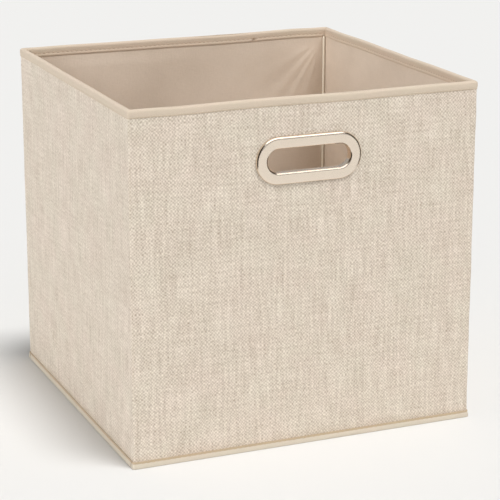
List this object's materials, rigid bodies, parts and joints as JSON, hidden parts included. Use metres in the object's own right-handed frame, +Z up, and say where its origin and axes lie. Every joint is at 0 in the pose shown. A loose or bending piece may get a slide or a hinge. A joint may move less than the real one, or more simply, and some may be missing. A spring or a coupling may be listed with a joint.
{
  "type": "fabric storage bin",
  "caption": "Open-top cube storage bin of stiffened cloth with bound rim and foot, a metal eyelet handle in the front wall, side walls that crease inward and a split base that folds up.",
  "frame": {"origin": "on the floor, in the middle of the footprint", "axes": "+X to the right of the front wall, +Y to the rear wall, +Z up; the handle is in the wall facing -Y"},
  "size_m": [0.3124, 0.304, 0.3],
  "materials": {
    "cover": "linen-look cream polyester weave, matt",
    "lining": "beige-brown nonwoven, matt",
    "tape": "cream plain tape, matt",
    "piping": "light cream cord, slight sheen",
    "thread": "polyester thread, slight sheen",
    "card": "grey-brown board, matt",
    "metal": "polished nickel with a warm tone"
  },
  "bodies": {
    "rear_wall": {"rear_card": "card", "rear_cover": "cover", "rear_lining": "lining", "rear_rim_binding": "tape", "rear_rim_stitching": "thread", "rear_foot_binding": "tape", "rear_corner_piping": "piping"},
    "left_rear": {"left_rear_card": "card", "left_rear_cover": "cover", "left_rear_lining": "lining", "left_rear_rim_binding": "tape", "left_rear_rim_stitching": "thread", "left_rear_gusset_cover": "cover", "left_rear_gusset_lining": "lining"},
    "left_front": {"left_front_card": "card", "left_front_cover": "cover", "left_front_lining": "lining", "left_front_rim_binding": "tape", "left_front_rim_stitching": "thread", "left_front_gusset_cover": "cover", "left_front_gusset_lining": "lining"},
    "front_wall": {"front_card": "card", "front_cover": "cover", "front_lining": "lining", "front_rim_binding": "tape", "front_rim_stitching": "thread", "front_foot_binding": "tape", "front_corner_piping": "piping", "handle_face_ring": "metal", "handle_back_ring": "metal"},
    "right_front": {"right_front_card": "card", "right_front_cover": "cover", "right_front_lining": "lining", "right_front_rim_binding": "tape", "right_front_rim_stitching": "thread", "right_front_gusset_cover": "cover", "right_front_gusset_lining": "lining"},
    "right_rear": {"right_rear_card": "card", "right_rear_cover": "cover", "right_rear_lining": "lining", "right_rear_rim_binding": "tape", "right_rear_rim_stitching": "thread", "right_rear_gusset_cover": "cover", "right_rear_gusset_lining": "lining"},
    "base_rear": {"base_rear_card": "card", "base_rear_lining": "lining", "base_rear_undercover": "cover", "base_rear_side_binding": "tape"},
    "base_front": {"base_front_card": "card", "base_front_lining": "lining", "base_front_undercover": "cover", "base_front_side_binding": "tape"}
  },
  "joints": [
    {"name": "fold", "type": "hinge", "parent": "rear_wall", "child": "left_rear", "pos_m": [-0.1502, 0.1452, 0.15], "axis": [0, 0, 1], "range_deg": [0, 84], "deforming": ["left_rear_gusset_cover", "left_rear_gusset_lining", "left_front_gusset_cover", "left_front_gusset_lining", "right_front_gusset_cover", "right_front_gusset_lining", "right_rear_gusset_cover", "right_rear_gusset_lining"]},
    {"name": "left_crease", "type": "hinge", "parent": "left_rear", "child": "left_front", "pos_m": [-0.157, 0, 0.15], "axis": [0, 0, -1], "range_deg": [0, 168]},
    {"name": "front_left_corner", "type": "hinge", "parent": "left_front", "child": "front_wall", "pos_m": [-0.1502, -0.1452, 0.15], "axis": [0, 0, 1], "range_deg": [0, 84]},
    {"name": "front_right_corner", "type": "hinge", "parent": "front_wall", "child": "right_front", "pos_m": [0.1502, -0.1452, 0.15], "axis": [0, 0, 1], "range_deg": [0, 84]},
    {"name": "right_crease", "type": "hinge", "parent": "right_front", "child": "right_rear", "pos_m": [0.157, 0, 0.15], "axis": [0, 0, -1], "range_deg": [0, 168]},
    {"name": "base_rear_hinge", "type": "hinge", "parent": "rear_wall", "child": "base_rear", "pos_m": [0, 0.1459, 0.007], "axis": [-1, 0, 0], "range_deg": [0, 84]},
    {"name": "base_front_hinge", "type": "hinge", "parent": "front_wall", "child": "base_front", "pos_m": [0, -0.1459, 0.007], "axis": [1, 0, 0], "range_deg": [0, 84]}
  ],
  "couplings": [
    {"joint": "left_crease", "follows": "fold", "ratio": 2},
    {"joint": "front_left_corner", "follows": "fold", "ratio": 1},
    {"joint": "front_right_corner", "follows": "fold", "ratio": 1},
    {"joint": "right_crease", "follows": "fold", "ratio": 2},
    {"joint": "base_rear_hinge", "follows": "fold", "ratio": 1},
    {"joint": "base_front_hinge", "follows": "fold", "ratio": 1}
  ]
}
